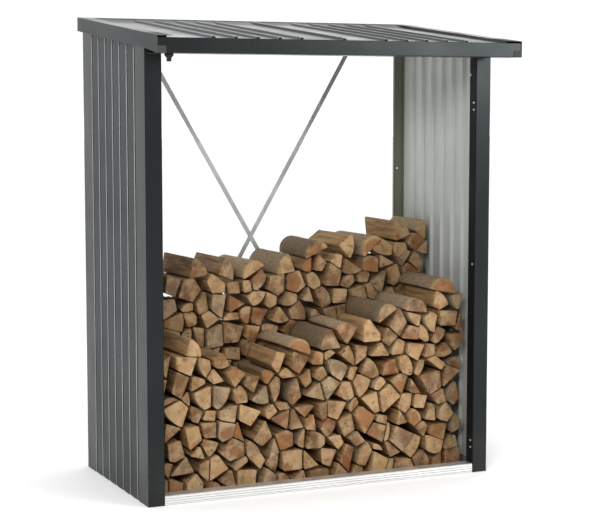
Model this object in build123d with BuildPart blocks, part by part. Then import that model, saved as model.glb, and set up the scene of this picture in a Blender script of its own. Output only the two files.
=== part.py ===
from build123d import *

import math
import os
import random

import numpy as np

# A log store: an open-fronted steel shelter with a single-pitch roof that falls to a front gutter,
# an open back braced by two crossed straps, and two stacks of split firewood, one behind the other.
# X runs along the front, +Y to the back, +Z up. The origin is under the middle of the roof.

# Overall sizes, in millimetres
roof_width = 1620.0
roof_depth = 1030.0
back_height = 1990.0
front_height = 1869.0
side_overhang = 22.5
front_overhang = 212.0
rear_overhang = 4.0

# Sheet metal and fits
sheet = 1.0
rail_sheet = 1.5
seat = 0.3
overrun = 5.0

# Corner posts
front_post_face = 71.0
front_post_wrap = 117.0
front_post_flange = 55.0
rear_post_wrap = 117.0
rear_post_flange = 46.0
rear_post_lip = 14.0
wall_hole_radius = 3.5
wall_hole_low = 654.0
wall_hole_high = 1308.0

# Grooved side panels
panel_width = 750.0
groove_pitch = 93.0
groove_count = 7
groove_depth = 14.0
groove_mouth = 18.0
groove_floor = 8.0

# Base frame
sill_height = 39.0
sill_depth = 60.0
sill_recess = 2.0
sill_wall = 2.0
sill_rib_count = 3
sill_rib_height = 3.0
sill_rib_depth = 1.2
base_rail_height = 38.0
base_rail_foot = 32.0
rear_sill_foot = 28.0
anchor_radius = 4.5
anchor_inset = 16.0
anchor_setback = 200.0

# Roof frame and roof sheets
frame_height = 45.0
frame_width = 40.0
rib_pitch = 94.0
rib_steps = (2, 3, 4, 5, 6)
rib_height = 8.0
rib_base = 22.0
rib_crown = 12.0
seam_side_gap = 2.0
sheet_edge_inset = 54.0
eave_gap = 40.0
eave_step = 1.0

# Edge trims, gutter and spout
edge_height = 60.0
verge_cover = 64.0
verge_return = 12.0
rear_cover = 30.0
gutter_depth = 120.0
gutter_lip = 9.0
cap_depth = 150.0
cap_wall = 3.0
cap_wrap_width = 38.0
cap_wrap_height = 28.0
cap_wrap_wall = 2.5
spout_inset = 64.0
spout_setback = 42.0
spout_collar_radius = 18.0
spout_collar_height = 8.0
spout_radius = 9.5
spout_length = 31.0
spout_bore_radius = 7.0

# Crossed straps in the open back
strap_width = 20.0
strap_thickness = 2.0
strap_top_inset = 234.5
strap_foot_inset = 209.5
strap_end_drop = 24.0
strap_foot_height = 20.0
strap_web_setback = 6.0

# Firewood: the cells that the stacks are shared out into, and the shape of the two stacks
cell_width = 82.0
cell_height = 75.0
log_gap = 2.6
log_size = 104.0
log_end_stagger = 26.0
stack_side_gap = 1.5
stack_rear_gap = 6.0
front_stack_setback = 118.0
stack_gap = 12.0
front_stack_height = 862.0
rear_stack_height = 1128.0
front_course_count = 8
rear_course_count = 11
front_seed = 11
rear_seed = 29
arc_steps = 24
lie_steps = 60
near_cells = 3.5
scatter_share = 0.30
pull_share = 0.30
corner_counts = (3, 4, 4, 4, 4, 5)
bark_share = 0.29
bark_fill_share = 0.96

# The top line of each stack, from left to right: shares of its width, and of its height
front_top_shares = (
    (0.0, 0.71),
    (0.20, 0.72),
    (0.28, 0.69),
    (0.50, 0.69),
    (0.60, 0.76),
    (0.76, 0.88),
    (0.90, 0.96),
    (1.0, 1.0),
)
rear_top_shares = ((0.0, 0.84), (0.44, 0.81), (0.58, 0.86), (0.75, 0.92), (0.90, 0.98), (1.0, 1.0))

# Loose logs on top, which lie on a flat side: share of the stack's width, angle of the split in degrees,
# share of the log size, which way a log with its heart faces (zero without it), and skew as a share of
# its length
front_loose_shares = (
    (0.13, 74, 0.78, 1, -0.04),
    (0.455, 168, 0.60, 0, -0.05),
    (0.555, 66, 0.95, -1, -0.03),
    (0.64, 82, 0.92, 1, 0.04),
    (0.745, 164, 0.62, 0, -0.02),
    (0.835, 176, 0.58, 0, 0.03),
    (0.925, 168, 0.68, 0, 0.02),
)
rear_loose_shares = (
    (0.10, 172, 0.56, 0, 0.03),
    (0.235, 70, 0.92, 1, -0.05),
    (0.32, 84, 0.80, 1, -0.03),
    (0.415, 160, 0.64, 0, -0.05),
    (0.515, 78, 0.88, -1, -0.02),
    (0.62, 166, 0.62, 0, 0.04),
    (0.715, 72, 0.96, 1, -0.03),
    (0.81, 170, 0.60, 0, -0.04),
    (0.915, 80, 0.92, 1, 0.03),
)

# Places that follow from the sizes above
half_width = roof_width / 2
half_span = half_width - side_overhang
front_edge = -roof_depth / 2
back_edge = roof_depth / 2
post_front = front_edge + front_overhang
wall_back = back_edge - rear_overhang
verge_rise = rib_height + sheet + 2 * seat
roof_back_z = back_height - verge_rise - sheet
roof_front_z = front_height + eave_step
pitch = math.atan2(roof_back_z - roof_front_z, roof_depth - eave_gap)
slope = math.tan(pitch)
ridge_inner_x = half_span - 2 * sheet - groove_depth
gutter_bottom = front_height - edge_height
gutter_front = front_edge + cap_wrap_wall
gutter_back = gutter_front + gutter_depth
strap_web = wall_back - strap_web_setback
frame_top = -sheet - seat
frame_bottom = frame_top - frame_height
wall_top = frame_bottom - seat
stack_width = 2 * (ridge_inner_x - base_rail_foot - stack_side_gap)
front_stack_front = post_front + front_stack_setback
rear_stack_back = strap_web - rear_sill_foot - stack_rear_gap
log_length = (rear_stack_back - front_stack_front - stack_gap) / 2

# Roof coordinates: x along the eave, y square to the roof, z down the slope from the back edge
roof_frame = Plane(
    origin=(0, back_edge, roof_back_z), x_dir=(1, 0, 0), z_dir=(0, -math.cos(pitch), -math.sin(pitch))
)
wall_top_plane = Plane(
    origin=roof_frame.from_local_coords((0, wall_top, 0)),
    x_dir=(1, 0, 0),
    z_dir=(0, -math.sin(pitch), math.cos(pitch)),
)


def roof_z(y, above=0.0):
    """Height of the roof sheet's flat at a place from front to back, or of a line square above it."""
    return roof_back_z - (back_edge - y) * slope + above / math.cos(pitch)


def slope_run(y):
    """Distance down the slope from the back edge to a place from front to back."""
    return (back_edge - y) / math.cos(pitch)


def upright(y):
    """An upright plane across the store, facing the back."""
    return Plane(origin=(0, y, 0), x_dir=(-1, 0, 0), z_dir=(0, 1, 0))


def side_plane(x):
    """A plane square to X, seen with Y to the right and Z up."""
    return Plane(origin=(x, 0, 0), x_dir=(0, 1, 0), z_dir=(1, 0, 0))


def folded_sheet(points, thickness, side=Side.LEFT):
    """Draw the section of a folded sheet in the open sketch: a line of folds and its thickness."""
    with BuildLine() as folds:
        Polyline(*points)
        offset(amount=thickness, side=side, kind=Kind.INTERSECTION)
    make_face(folds.edges())


def ribbed_line(start, end, centres, base, crown, height):
    """The fold points of a sheet with trapezoid ribs: a flat line, raised at each centre."""
    points = [(start, 0)]
    for centre in centres:
        points.append((centre - base / 2, 0))
        points.append((centre - crown / 2, height))
        points.append((centre + crown / 2, height))
        points.append((centre + base / 2, 0))
    points.append((end, 0))
    return points


os.makedirs("parts", exist_ok=True)


def save(part, name):
    """Label a finished piece and write it under its own name."""
    part.label = name
    export_step(part, f"parts/{name}.step")


# Corner posts: folded sheet, cut to the fall of the roof
for name, hand in (("left", -1), ("right", 1)):
    with BuildPart() as front_post:
        with BuildSketch():
            folded_sheet(
                (
                    (hand * (half_span - front_post_face), post_front + front_post_flange),
                    (hand * (half_span - front_post_face), post_front),
                    (hand * half_span, post_front),
                    (hand * half_span, post_front + front_post_wrap),
                ),
                sheet,
                Side.LEFT if hand > 0 else Side.RIGHT,
            )
        extrude(amount=back_height)
        split(bisect_by=wall_top_plane, keep=Keep.BOTTOM)
    save(front_post.part, f"front_post_{name}")

    with BuildPart() as rear_post:
        with BuildSketch():
            folded_sheet(
                (
                    (hand * half_span, wall_back - rear_post_wrap),
                    (hand * half_span, wall_back),
                    (hand * (half_span - rear_post_flange), wall_back),
                    (hand * (half_span - rear_post_flange), wall_back - rear_post_lip),
                ),
                sheet,
                Side.LEFT if hand > 0 else Side.RIGHT,
            )
        extrude(amount=back_height)
        split(bisect_by=wall_top_plane, keep=Keep.BOTTOM)
        hole_x = hand * (half_span - rear_post_flange / 2)
        with BuildSketch(Plane.XZ.offset(-wall_back - overrun)):
            with Locations((hole_x, wall_hole_low), (hole_x, wall_hole_high)):
                Circle(wall_hole_radius)
        extrude(amount=2 * overrun, mode=Mode.SUBTRACT)
    save(rear_post.part, f"rear_post_{name}")


# Side panels: flat outside with narrow upright grooves, between and behind the posts
panel_centre = (post_front + wall_back) / 2
panel_start = panel_centre - panel_width / 2
groove_places = [
    panel_centre + (index - (groove_count - 1) / 2) * groove_pitch for index in range(groove_count)
]
for name, hand in (("left", -1), ("right", 1)):
    panel_face_x = half_span - sheet
    groove_line = ribbed_line(
        panel_start, panel_start + panel_width, groove_places, groove_mouth, groove_floor, groove_depth
    )
    with BuildPart() as side_panel:
        with BuildSketch():
            folded_sheet(
                [(hand * (panel_face_x - depth), y) for y, depth in groove_line],
                sheet,
                Side.LEFT if hand > 0 else Side.RIGHT,
            )
        extrude(amount=back_height)
        split(bisect_by=wall_top_plane, keep=Keep.BOTTOM)
    save(side_panel.part, f"side_panel_{name}")


# Base frame: a ribbed front sill, an angle along each side with anchor holes, and an angle at the back
sill_front = post_front + sill_recess
sill_half_length = half_span - front_post_face - seat
with BuildPart() as front_sill:
    with BuildSketch(side_plane(-sill_half_length)):
        folded_sheet(
            (
                (sill_front, 0),
                (sill_front, sill_height),
                (sill_front + sill_depth, sill_height),
                (sill_front + sill_depth, 0),
            ),
            sill_wall,
            Side.RIGHT,
        )
    extrude(amount=2 * sill_half_length)
    sill_rib_pitch = sill_height / (sill_rib_count + 1)
    with BuildSketch(side_plane(-sill_half_length)):
        for index in range(sill_rib_count):
            with Locations((sill_front - sill_rib_depth / 2, (index + 1) * sill_rib_pitch)):
                Rectangle(sill_rib_depth, sill_rib_height)
    extrude(amount=2 * sill_half_length)
save(front_sill.part, "front_sill")

rail_start = post_front + sheet + seat
rail_end = wall_back - rear_post_lip - seat
anchor_places = (post_front + anchor_setback, wall_back - anchor_setback)
for name, hand in (("left", -1), ("right", 1)):
    with BuildPart() as base_rail:
        with BuildSketch(Plane.XZ.offset(-rail_start)):
            folded_sheet(
                (
                    (hand * ridge_inner_x, base_rail_height),
                    (hand * ridge_inner_x, 0),
                    (hand * (ridge_inner_x - base_rail_foot), 0),
                ),
                rail_sheet,
                Side.RIGHT if hand > 0 else Side.LEFT,
            )
        extrude(amount=-(rail_end - rail_start))
        with BuildSketch(Plane.XY.offset(-overrun)):
            with Locations(*[(hand * (ridge_inner_x - anchor_inset), y) for y in anchor_places]):
                Circle(anchor_radius)
        extrude(amount=2 * overrun, mode=Mode.SUBTRACT)
    save(base_rail.part, f"base_rail_{name}")

rear_sill_half_length = ridge_inner_x - base_rail_foot - seat
with BuildPart() as rear_sill:
    with BuildSketch(side_plane(-rear_sill_half_length)):
        folded_sheet(
            (
                (strap_web + rail_sheet, base_rail_height),
                (strap_web + rail_sheet, 0),
                (strap_web - rear_sill_foot, 0),
            ),
            rail_sheet,
            Side.RIGHT,
        )
    extrude(amount=2 * rear_sill_half_length)
save(rear_sill.part, "rear_sill")


# Roof frame: channels under the roof sheets, carried on the walls
side_rail_start = gutter_back + sheet + seat
side_rail_end = strap_web - seat
for name, hand in (("left", -1), ("right", 1)):
    with BuildPart() as roof_side_rail:
        with BuildSketch(roof_frame):
            folded_sheet(
                (
                    (hand * (half_span - frame_width), frame_bottom),
                    (hand * half_span, frame_bottom),
                    (hand * half_span, frame_top),
                    (hand * (half_span - frame_width), frame_top),
                ),
                rail_sheet,
                Side.LEFT if hand > 0 else Side.RIGHT,
            )
        extrude(amount=slope_run(front_edge))
        split(bisect_by=upright(side_rail_end), keep=Keep.BOTTOM)
        split(bisect_by=upright(side_rail_start), keep=Keep.TOP)
    save(roof_side_rail.part, f"roof_side_rail_{name}")

header_half_length = half_span - frame_width - seat
with BuildPart() as front_header:
    with BuildSketch(side_plane(-header_half_length)):
        folded_sheet(
            (
                (post_front + frame_width, roof_z(post_front + frame_width, frame_top)),
                (post_front, roof_z(post_front, frame_top)),
                (post_front, roof_z(post_front, frame_bottom)),
                (post_front + frame_width, roof_z(post_front + frame_width, frame_bottom)),
            ),
            rail_sheet,
            Side.LEFT,
        )
    extrude(amount=2 * header_half_length)
save(front_header.part, "front_header")

with BuildPart() as rear_header:
    with BuildSketch(side_plane(-half_span)):
        folded_sheet(
            (
                (strap_web + strap_web_setback, roof_z(strap_web + strap_web_setback, frame_top)),
                (strap_web, roof_z(strap_web, frame_top)),
                (strap_web, roof_z(strap_web, frame_bottom)),
            ),
            rail_sheet,
            Side.LEFT,
        )
    extrude(amount=2 * half_span)
save(rear_header.part, "rear_header")


# Roof sheets: ribs down the slope, an upturned outer edge, and a lapped seam along the middle
sheet_set = sheet + seat
sheet_run = slope_run(front_edge + eave_gap) - sheet_set
roof_half_run = half_width - sheet_edge_inset
rib_places = [step * rib_pitch for step in rib_steps]
with BuildPart() as roof_sheet_left:
    with BuildSketch(roof_frame.offset(sheet_set)):
        left_line = ribbed_line(
            -roof_half_run,
            rib_base / 2,
            [-place for place in reversed(rib_places)] + [0],
            rib_base,
            rib_crown,
            rib_height,
        )
        folded_sheet([(-roof_half_run, rib_height)] + left_line[:-1], sheet, Side.RIGHT)
    extrude(amount=sheet_run)
save(roof_sheet_left.part, "roof_sheet_left")

lap_base = rib_base / 2 + seam_side_gap
lap_crown = rib_crown / 2 + seam_side_gap
lap_height = rib_height + sheet + seat
with BuildPart() as roof_sheet_right:
    with BuildSketch(roof_frame.offset(sheet_set)):
        right_line = ribbed_line(
            lap_base, roof_half_run, rib_places, rib_base, rib_crown, rib_height
        )
        folded_sheet(
            [(-lap_crown, lap_height), (lap_crown, lap_height)] + right_line + [(roof_half_run, rib_height)],
            sheet,
            Side.RIGHT,
        )
    extrude(amount=sheet_run)
save(roof_sheet_right.part, "roof_sheet_right")


# Edge trims: a folded verge down each side, and one along the back
verge_top = verge_rise + sheet
verge_front = front_edge + cap_depth + seat
for name, hand in (("left", -1), ("right", 1)):
    with BuildPart() as verge_trim:
        with BuildSketch(roof_frame.offset(-overrun)):
            folded_sheet(
                (
                    (hand * (half_width - verge_cover), verge_top),
                    (hand * half_width, verge_top),
                    (hand * half_width, verge_top - edge_height),
                    (hand * (half_width - verge_return), verge_top - edge_height),
                ),
                sheet,
                Side.RIGHT if hand > 0 else Side.LEFT,
            )
        extrude(amount=slope_run(front_edge))
        split(bisect_by=upright(back_edge - sheet - seat), keep=Keep.BOTTOM)
        split(bisect_by=upright(verge_front), keep=Keep.TOP)
    save(verge_trim.part, f"verge_trim_{name}")

with BuildPart() as rear_trim:
    with BuildSketch(side_plane(-half_width)):
        folded_sheet(
            (
                (back_edge - rear_cover, roof_z(back_edge - rear_cover, verge_top)),
                (back_edge, roof_z(back_edge, verge_top)),
                (back_edge, roof_z(back_edge, verge_top) - edge_height),
            ),
            sheet,
            Side.RIGHT,
        )
    extrude(amount=roof_width)
    with BuildSketch(Plane.XZ.offset(sheet - back_edge)):
        for hand in (-1, 1):
            with Locations((hand * (half_width - verge_cover / 2), back_height)):
                Rectangle(verge_cover + 2 * seat, edge_height)
    extrude(amount=rear_cover + overrun, mode=Mode.SUBTRACT)
save(rear_trim.part, "rear_trim")


# Gutter: a folded trough under the eave with a drain hole, moulded end caps and a hose spout
gutter_half_length = half_width - cap_wall - seat
spout_x = -(half_width - spout_inset)
spout_y = gutter_front + spout_setback
gutter_back_top = roof_z(gutter_back, frame_top)
with BuildPart() as gutter:
    with BuildSketch(side_plane(-gutter_half_length)):
        folded_sheet(
            (
                (gutter_front + gutter_lip, front_height),
                (gutter_front, front_height),
                (gutter_front, gutter_bottom),
                (gutter_back, gutter_bottom),
                (gutter_back, gutter_back_top),
            ),
            sheet,
            Side.LEFT,
        )
    extrude(amount=2 * gutter_half_length)
    with BuildSketch(Plane.XY.offset(gutter_bottom - overrun)):
        with Locations((spout_x, spout_y)):
            Circle(spout_bore_radius)
    extrude(amount=2 * overrun, mode=Mode.SUBTRACT)
save(gutter.part, "gutter")

cap_back = front_edge + cap_depth
for name, hand in (("left", -1), ("right", 1)):
    with BuildPart() as end_cap:
        with BuildSketch(side_plane(hand * half_width)):
            with BuildLine():
                Polyline(
                    (front_edge, gutter_bottom),
                    (front_edge, roof_z(front_edge, verge_top)),
                    (cap_back, roof_z(cap_back, verge_top)),
                    (cap_back, roof_z(cap_back, verge_top - edge_height)),
                    close=True,
                )
            make_face()
        extrude(amount=-hand * cap_wall)
        with BuildSketch(roof_frame.offset(slope_run(cap_back) - overrun)):
            with Locations((hand * (half_width - verge_cover / 2), verge_top - sheet / 2)):
                Rectangle(verge_cover, sheet)
        extrude(amount=cap_depth / math.cos(pitch) + 2 * overrun)
        split(bisect_by=upright(cap_back), keep=Keep.BOTTOM)
        split(bisect_by=upright(front_edge), keep=Keep.TOP)
        with BuildSketch(Plane.XZ.offset(-front_edge)):
            with Locations((hand * (half_width - cap_wrap_width / 2), gutter_bottom + cap_wrap_height / 2)):
                Rectangle(cap_wrap_width, cap_wrap_height)
        extrude(amount=-(cap_wrap_wall - seat))
    save(end_cap.part, f"gutter_cap_{name}")

with BuildPart() as gutter_spout:
    with BuildSketch(Plane.XZ.offset(-spout_y)):
        with BuildLine():
            Polyline(
                (spout_x + spout_bore_radius, gutter_bottom),
                (spout_x + spout_collar_radius, gutter_bottom),
                (spout_x + spout_collar_radius, gutter_bottom - spout_collar_height),
                (spout_x + spout_radius, gutter_bottom - spout_collar_height),
                (spout_x + spout_radius, gutter_bottom - spout_length),
                (spout_x + spout_bore_radius, gutter_bottom - spout_length),
                close=True,
            )
        make_face()
    revolve(axis=Axis((spout_x, spout_y, 0), (0, 0, 1)))
save(gutter_spout.part, "gutter_spout")


# Crossed straps: one on each face of the webs of the rear header and rear sill
strap_top_height = roof_z(strap_web, frame_top) - strap_end_drop
for name, hand, strap_back in (
    ("rising", 1, strap_web),
    ("falling", -1, strap_web + rail_sheet + strap_thickness),
):
    with BuildPart() as strap:
        foot = Vector(-hand * (half_span - strap_foot_inset), strap_foot_height)
        head = Vector(hand * (half_span - strap_top_inset), strap_top_height)
        lean = math.degrees(math.atan2(head.Y - foot.Y, head.X - foot.X))
        with BuildSketch(Plane.XZ.offset(-strap_back)):
            with Locations((foot + head) / 2):
                SlotCenterToCenter((head - foot).length, strap_width, rotation=lean)
        extrude(amount=strap_thickness)
    save(strap.part, f"brace_strap_{name}")


# Firewood: the face of each stack is shared out into cells, one to a log, each pared down to a split log's
# few corners; the logs then settle onto one another, and loose ones are laid on top


class SplitLog:
    """A split log: its end outline, with bark along one rounded side or none, its two ends and its skew."""

    def __init__(self, corners, bark_centre, near, far, skew=0.0):
        self.corners = corners
        self.bark_centre = bark_centre
        self.near = near
        self.far = far
        self.skew = skew

    def mapped(self, place):
        """The same log with every point of its outline moved by a rule."""
        centre = place(self.bark_centre) if self.bark_centre else None
        return SplitLog([place(corner) for corner in self.corners], centre, self.near, self.far, self.skew)

    def raised(self, height):
        """The same log, higher by a height."""
        return self.mapped(lambda point: (point[0], point[1] + height))

    def bark_point(self, share):
        """A point along the bark, which runs from the first corner to the second."""
        start, end = (
            math.atan2(corner[1] - self.bark_centre[1], corner[0] - self.bark_centre[0])
            for corner in self.corners[:2]
        )
        angle = start + (end - start) % (2 * math.pi) * share
        radius = math.dist(self.corners[0], self.bark_centre)
        x, z = self.bark_centre
        return (x + radius * math.cos(angle), z + radius * math.sin(angle))

    def side(self, turn, near_shift=0.0, far_shift=0.0):
        """The under (turn 1) or upper (turn -1) side of what the log covers, from left to right."""
        points = list(self.corners)
        if self.bark_centre:
            points += [self.bark_point(step / arc_steps) for step in range(1, arc_steps)]
        ends = sorted({(x + shift, z) for x, z in points for shift in (near_shift, far_shift)})
        kept = []
        for x, z in ends:
            while len(kept) > 1:
                (ax, az), (bx, bz) = kept[-2:]
                if turn * ((bx - ax) * (z - az) - (bz - az) * (x - ax)) > 0:
                    break
                kept.pop()
            kept.append((x, z))
        return np.array(kept)

    def rest_height(self, placed):
        """How far the log is raised from where it is drawn to rest on the ground and on the logs placed."""
        rest = -min(z for x, z in self.side(1))
        for other in placed:
            lean = (self.skew - other.skew) / log_length
            near = lean * max(self.near, other.near)
            far = lean * min(self.far, other.far)
            under, over = self.side(1, near, far), other.side(-1)
            for line, points, sign in ((over, under, 1), (under, over, -1)):
                met = points[(points[:, 0] >= line[0, 0]) & (points[:, 0] <= line[-1, 0])]
                if len(met):
                    rest = max(rest, (sign * (height_at(line, met[:, 0]) - met[:, 1])).max() + seat)
        return rest

    def solid(self, stack_front):
        """The log as a solid between its two sawn ends."""
        start = self.skew * self.near / log_length
        corners = [(x + start, z) for x, z in self.corners]
        with BuildLine(Plane.XZ.offset(-stack_front - self.near)) as end:
            if self.bark_centre:
                x, z = self.bark_point(0.5)
                ThreePointArc(corners[0], (x + start, z), corners[1])
                Polyline(*corners[1:], corners[0])
            else:
                Polyline(*corners, close=True)
        length = self.far - self.near
        return Solid.extrude(Face(end.wire()), Vector(self.skew * length / log_length, length, 0))


def height_at(line, x):
    """Height of a line of points at places along the stack."""
    return np.interp(x, line[:, 0], line[:, 1])


def corner_angle(at, towards, other):
    """The angle at one corner between two others."""
    first = math.atan2(towards[1] - at[1], towards[0] - at[0])
    second = math.atan2(other[1] - at[1], other[0] - at[0])
    return abs((first - second + math.pi) % (2 * math.pi) - math.pi)


def bulge_angle(start, tip, end):
    """How steeply bark may leave the line between two corners and stay within the tip between them."""
    return min(corner_angle(start, tip, end), corner_angle(end, tip, start))


def triangle_area(a, b, c):
    """Area of a triangle."""
    return abs((b[0] - a[0]) * (c[1] - a[1]) - (b[1] - a[1]) * (c[0] - a[0])) / 2


def stack_cells(dice, stack_height, top_shares):
    """Share out a stack's face among scattered seeds, and keep the cells of those under its top line."""
    columns = round(stack_width / cell_width)
    rows = round(stack_height / cell_height) + 2
    seeds = []
    for row in range(rows):
        for column in range(columns + row % 2):
            x = (column + 0.5 * (1 - row % 2) + scatter_share * dice.uniform(-1, 1)) / columns - 0.5
            z = row + 0.5 + scatter_share * dice.uniform(-1, 1)
            pull = cell_width * cell_height * pull_share * dice.uniform(-1, 1)
            seeds.append((x * stack_width, z * cell_height, pull))
    top_line = np.array([(stack_width * (across - 0.5), stack_height * up) for across, up in top_shares])
    half = stack_width / 2
    roof = rows * cell_height
    for x, z, pull in seeds:
        if z + cell_height / 2 > height_at(top_line, x) or abs(x) > half:
            continue
        cell = [(-half, 0.0), (half, 0.0), (half, roof), (-half, roof)]
        for other_x, other_z, other_pull in seeds:
            dx, dz = other_x - x, other_z - z
            if 0 < math.hypot(dx, dz) < near_cells * cell_width:
                bound = (other_x**2 + other_z**2 - x**2 - z**2 + pull - other_pull) / 2
                cell = clipped(cell, dx, dz, bound)
        if len(cell) > 2:
            yield cell


def clipped(cell, dx, dz, bound):
    """The part of a convex outline on the near side of a line."""
    kept = []
    for here, there in zip(cell, cell[1:] + cell[:1]):
        past_here = dx * here[0] + dz * here[1] - bound
        past_there = dx * there[0] + dz * there[1] - bound
        if past_here <= 0:
            kept.append(here)
        if past_here * past_there < 0:
            share = past_here / (past_here - past_there)
            kept.append((here[0] + share * (there[0] - here[0]), here[1] + share * (there[1] - here[1])))
    return kept


def pared_log(dice, cell):
    """A split log cut from a cell: few corners, and on some logs bark across the bluntest corner."""
    near = log_end_stagger * dice.random()
    far = log_length - log_end_stagger * dice.random()
    count = dice.choice(corner_counts)
    corners = list(cell)
    centre = None
    if dice.random() < bark_share and len(cell) > 3:
        blunt, spot = 0.0, 0
        for index, tip in enumerate(cell):
            start, end = cell[index - 1], cell[(index + 1) % len(cell)]
            reach = bulge_angle(start, tip, end) * math.dist(start, end)
            if reach > blunt:
                blunt, spot = reach, index
        start, end = cell[spot - 1], cell[(spot + 1) % len(cell)]
        bulge = bark_fill_share * bulge_angle(start, cell[spot], end)
        corners = [start, end] + [cell[(spot + step) % len(cell)] for step in range(2, len(cell) - 1)]
        back = 1 / math.tan(bulge) / 2
        centre = (
            (start[0] + end[0]) / 2 - back * (end[1] - start[1]),
            (start[1] + end[1]) / 2 + back * (end[0] - start[0]),
        )
    first = 2 if centre else 0
    while len(corners) > count:
        areas = [
            triangle_area(corners[index - 1], corners[index], corners[(index + 1) % len(corners)])
            for index in range(first, len(corners))
        ]
        corners.pop(first + areas.index(min(areas)))
    middle = np.mean(corners, axis=0)
    draw_in = 1 - log_gap / cell_width
    log = SplitLog(corners, centre, near, far)
    return log.mapped(lambda point: tuple(middle + draw_in * (np.array(point) - middle)))


def settled(logs):
    """Let the logs of a stack down in turn, from the ground up, onto those that lie under them."""
    sides = [(log.side(1), log.side(-1)) for log in logs]
    under = {index: set() for index in range(len(logs))}
    for index, (low, high) in enumerate(sides):
        for other, (other_low, other_high) in enumerate(sides[:index]):
            left = max(low[0, 0], other_low[0, 0])
            right = min(low[-1, 0], other_low[-1, 0])
            if left < right:
                at = (left + right) / 2
                here = height_at(low, at) + height_at(high, at)
                there = height_at(other_low, at) + height_at(other_high, at)
                upper, lower = (index, other) if here > there else (other, index)
                under[upper].add(lower)
    placed = {}
    while len(placed) < len(logs):
        for index in under:
            if index not in placed and under[index] <= placed.keys():
                below = [placed[other] for other in under[index]]
                placed[index] = logs[index].raised(logs[index].rest_height(below))
    return list(placed.values())


def lie_of(logs, left, right):
    """The slope of the line that a flat side takes when it lies on the logs between two places."""
    overs = [log.side(-1) for log in logs]
    ridge = []
    for x in np.linspace(left, right, lie_steps):
        z = max(height_at(over, x) for over in overs if over[0, 0] <= x <= over[-1, 0])
        while len(ridge) > 1:
            (ax, az), (bx, bz) = ridge[-2:]
            if (bx - ax) * (z - az) < (bz - az) * (x - ax):
                break
            ridge.pop()
        ridge.append((x, z))
    middle = (left + right) / 2
    for (ax, az), (bx, bz) in zip(ridge, ridge[1:]):
        if bx >= middle:
            break
    return math.atan2(bz - az, bx - ax)


def loose_log(logs, across_share, angle_deg, size_share, facing, skew_share):
    """A split round, with its heart or sawn off short of it, laid on a flat side on top of a stack."""
    half_angle = math.radians(angle_deg) / 2
    outer = size_share * log_size
    across = (across_share - 0.5) * stack_width
    half_base = outer / 2 if facing else outer * math.sin(half_angle)
    lie = lie_of(logs, across - half_base, across + half_base)
    turn = lie + math.pi / 2 - facing * (math.pi / 2 - half_angle)
    heart = (across - facing * half_base, 0.0)
    corners = [(outer, -half_angle), (outer, half_angle)] + [(0.0, 0.0)] * abs(facing)

    def place(polar):
        return (heart[0] + polar[0] * math.cos(polar[1] + turn), polar[0] * math.sin(polar[1] + turn))

    log = SplitLog(corners, (0.0, 0.0), 0.0, log_length, skew_share * log_length).mapped(place)
    return log.raised(log.rest_height(logs))


rear_stack_front = front_stack_front + log_length + stack_gap
for name, seed, stack_front, stack_height, course_count, top_shares, loose_shares in (
    (
        "front",
        front_seed,
        front_stack_front,
        front_stack_height,
        front_course_count,
        front_top_shares,
        front_loose_shares,
    ),
    (
        "rear",
        rear_seed,
        rear_stack_front,
        rear_stack_height,
        rear_course_count,
        rear_top_shares,
        rear_loose_shares,
    ),
):
    dice = random.Random(seed)
    logs = settled([pared_log(dice, cell) for cell in stack_cells(dice, stack_height, top_shares)])
    for shares in loose_shares:
        logs.append(loose_log(logs, *shares))
    solids = [log.solid(stack_front) for log in logs]
    highest = max(solid.center().Z for solid in solids)
    courses = [[] for course in range(course_count)]
    for solid in solids:
        courses[min(int(course_count * solid.center().Z / highest), course_count - 1)].append(solid)
    for course, course_solids in enumerate(courses, 1):
        with BuildPart() as course_logs:
            add(course_solids)
        save(course_logs.part, f"{name}_logs_course_{course:02d}")
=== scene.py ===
import math
import random

import bmesh
import bpy
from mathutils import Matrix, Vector, noise


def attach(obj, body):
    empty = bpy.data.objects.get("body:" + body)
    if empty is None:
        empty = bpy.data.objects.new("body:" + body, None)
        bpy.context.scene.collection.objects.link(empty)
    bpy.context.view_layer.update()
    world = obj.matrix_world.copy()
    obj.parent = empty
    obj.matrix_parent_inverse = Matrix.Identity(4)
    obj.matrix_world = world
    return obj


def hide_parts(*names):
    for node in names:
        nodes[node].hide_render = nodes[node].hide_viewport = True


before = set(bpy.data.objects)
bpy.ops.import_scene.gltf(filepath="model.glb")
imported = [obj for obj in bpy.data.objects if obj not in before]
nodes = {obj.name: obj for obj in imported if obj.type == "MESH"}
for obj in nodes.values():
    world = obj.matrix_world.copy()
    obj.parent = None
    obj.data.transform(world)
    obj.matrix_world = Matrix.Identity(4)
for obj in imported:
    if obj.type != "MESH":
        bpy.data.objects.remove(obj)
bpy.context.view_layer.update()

# Camera: the photograph's viewpoint, its image taken as 600 by 527
CAMERA_PLACE = (-2.885, -6.361, 1.626)
CAMERA_PITCH_DOWN_DEG = 5.72
CAMERA_YAW_DEG = -24.55
CAMERA_FOCAL_PX = 1619.0
IMAGE_WIDTH_PX = 600.0
SENSOR_WIDTH_MM = 36.0

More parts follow.
